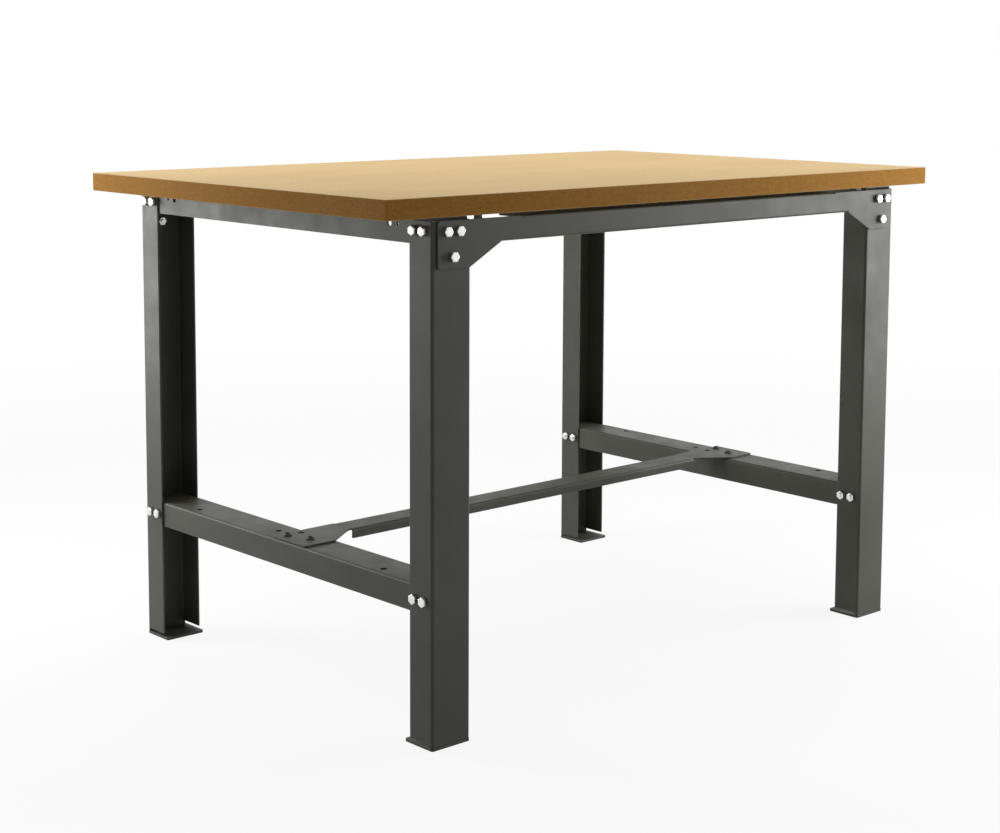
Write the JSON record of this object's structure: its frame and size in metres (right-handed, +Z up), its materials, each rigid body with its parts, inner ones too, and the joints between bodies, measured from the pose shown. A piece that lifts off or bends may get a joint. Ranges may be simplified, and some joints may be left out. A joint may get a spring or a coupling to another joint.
{
  "type": "workbench",
  "caption": "Steel-framed workbench with a thick wood-fibre top on folded channel legs, bolted corner beams, low side rails and a centre stretcher.",
  "frame": {"origin": "floor level under the middle of the bench", "axes": "+X along the long side to the right, +Y from front to back, +Z up"},
  "size_m": [1.2, 0.7572, 0.775],
  "materials": {
    "board": "bare wood-fibre board, light sanded face and darker cut edges",
    "steel": "dark grey semi-gloss powder coat",
    "zinc": "bright zinc plate",
    "dark_steel": "black oxide, satin"
  },
  "bodies": {
    "root": {"worktop": "board", "leg_front_left": "steel", "foot_plate_front_left": "steel", "leg_back_left": "steel", "foot_plate_back_left": "steel", "leg_front_right": "steel", "foot_plate_front_right": "steel", "leg_back_right": "steel", "foot_plate_back_right": "steel", "top_rail_left": "steel", "low_rail_left": "steel", "top_rail_right": "steel", "low_rail_right": "steel", "front_beam": "steel", "back_beam": "steel", "stretcher": "steel", "corner_bolt_front_left_1": "zinc", "corner_bolt_front_left_2": "zinc", "corner_bolt_front_left_3": "zinc", "top_rail_bolt_front_left_1": "zinc", "top_rail_bolt_front_left_2": "zinc", "low_rail_bolt_front_left_1": "zinc", "low_rail_bolt_front_left_2": "zinc", "worktop_screw_front_left": "zinc", "corner_bolt_back_left_1": "zinc", "corner_bolt_back_left_2": "zinc", "corner_bolt_back_left_3": "zinc", "top_rail_bolt_back_left_1": "zinc", "top_rail_bolt_back_left_2": "zinc", "low_rail_bolt_back_left_1": "zinc", "low_rail_bolt_back_left_2": "zinc", "worktop_screw_back_left": "zinc", "stretcher_bolt_left_1": "dark_steel", "stretcher_bolt_left_2": "dark_steel", "corner_bolt_front_right_1": "zinc", "corner_bolt_front_right_2": "zinc", "corner_bolt_front_right_3": "zinc", "top_rail_bolt_front_right_1": "zinc", "top_rail_bolt_front_right_2": "zinc", "low_rail_bolt_front_right_1": "zinc", "low_rail_bolt_front_right_2": "zinc", "worktop_screw_front_right": "zinc", "corner_bolt_back_right_1": "zinc", "corner_bolt_back_right_2": "zinc", "corner_bolt_back_right_3": "zinc", "top_rail_bolt_back_right_1": "zinc", "top_rail_bolt_back_right_2": "zinc", "low_rail_bolt_back_right_1": "zinc", "low_rail_bolt_back_right_2": "zinc", "worktop_screw_back_right": "zinc", "stretcher_bolt_right_1": "dark_steel", "stretcher_bolt_right_2": "dark_steel"}
  },
  "joints": []
}
